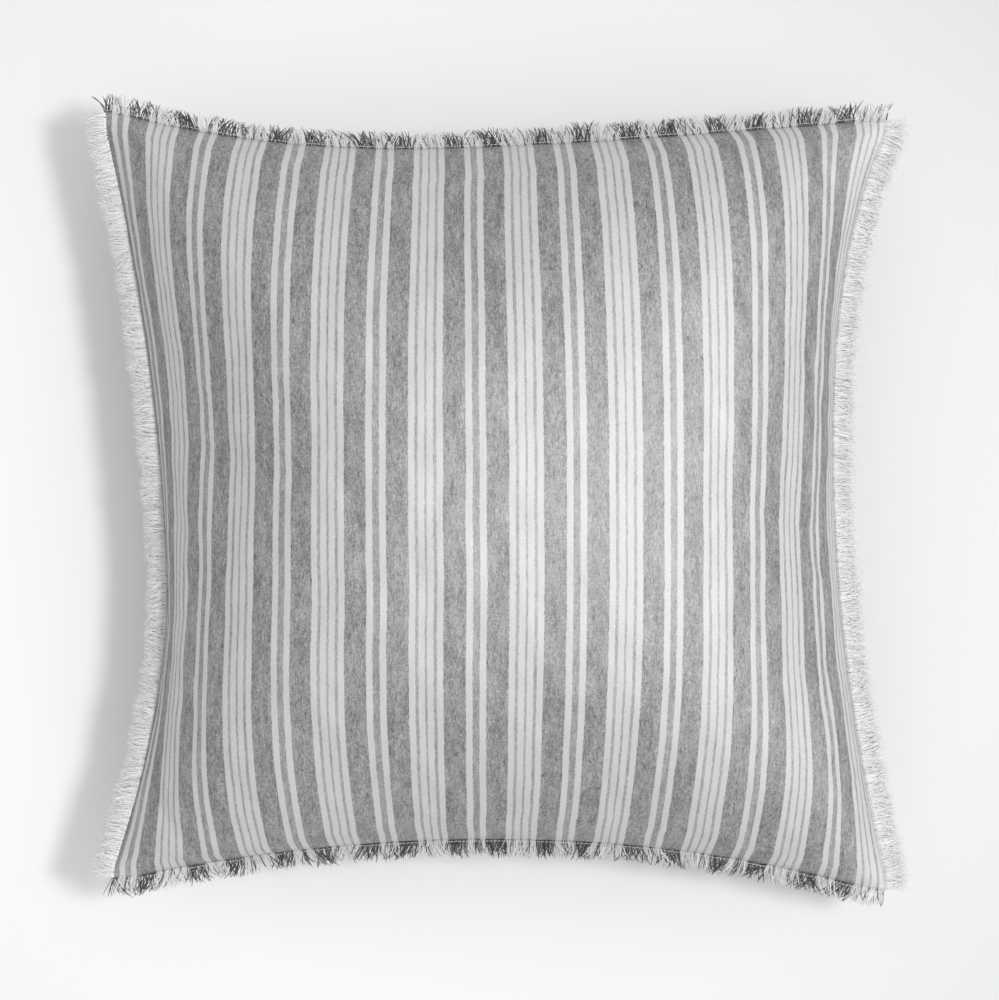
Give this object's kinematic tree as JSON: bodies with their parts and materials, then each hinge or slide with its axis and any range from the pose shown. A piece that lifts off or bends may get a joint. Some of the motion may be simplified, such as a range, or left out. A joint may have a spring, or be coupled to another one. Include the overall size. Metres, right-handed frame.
{
  "type": "throw pillow",
  "caption": "Square throw pillow with a vertical grey and white striped woven cover, frayed eyelash edges on every side, a zip across the back and a stuffed insert.",
  "frame": {"origin": "centre of the pillow's footprint, on the plane that its back rests on", "axes": "+Z out of the pillow's front, +X to its right and +Y to its top edge as seen from the front; the stripes run along Y and the zip along X near the bottom edge"},
  "size_m": [0.5686, 0.5632, 0.2051],
  "materials": {
    "cover_fabric": "matte",
    "ticking": "matte",
    "fill": "matte",
    "label": "matte",
    "fringe_warp": "matte",
    "fringe_weft": "matte",
    "thread": "matte",
    "zip_tape": "matte",
    "zip_nylon": "satin",
    "zip_metal": "satin"
  },
  "bodies": {
    "pillow": {"back_panel_lower": "cover_fabric", "back_panel_upper": "cover_fabric", "care_label": "label", "fringe_back_bottom": "fringe_warp", "fringe_back_left": "fringe_weft", "fringe_back_right": "fringe_weft", "fringe_back_top": "fringe_warp", "fringe_front_bottom": "fringe_warp", "fringe_front_left": "fringe_weft", "fringe_front_right": "fringe_weft", "fringe_front_top": "fringe_warp", "front_panel": "cover_fabric", "insert_back_ticking": "ticking", "insert_fill": "fill", "insert_front_ticking": "ticking", "insert_tag": "label", "seam_bobbin_thread": "thread", "seam_needle_thread": "thread", "zip_bottom_stop": "zip_metal", "zip_stitching_lower": "thread", "zip_stitching_upper": "thread", "zip_tape_lower": "zip_tape", "zip_tape_upper": "zip_tape", "zip_teeth_lower": "zip_nylon", "zip_teeth_upper": "zip_nylon", "zip_top_stop_lower": "zip_metal", "zip_top_stop_upper": "zip_metal"},
    "slider": {"zip_slider": "zip_metal"},
    "pull_tab": {"zip_pull_tab": "zip_metal"}
  },
  "joints": [
    {"name": "zip_slide", "type": "slide", "parent": "pillow", "child": "slider", "axis": [-1, 0, 0], "range_m": [0, 0.35]},
    {"name": "pull_tab_hinge", "type": "hinge", "parent": "slider", "child": "pull_tab", "pos_m": [0.175, -0.23937, 0.0487], "axis": [0, -0.4422, 0.8969], "range_deg": [0, 170]}
  ]
}
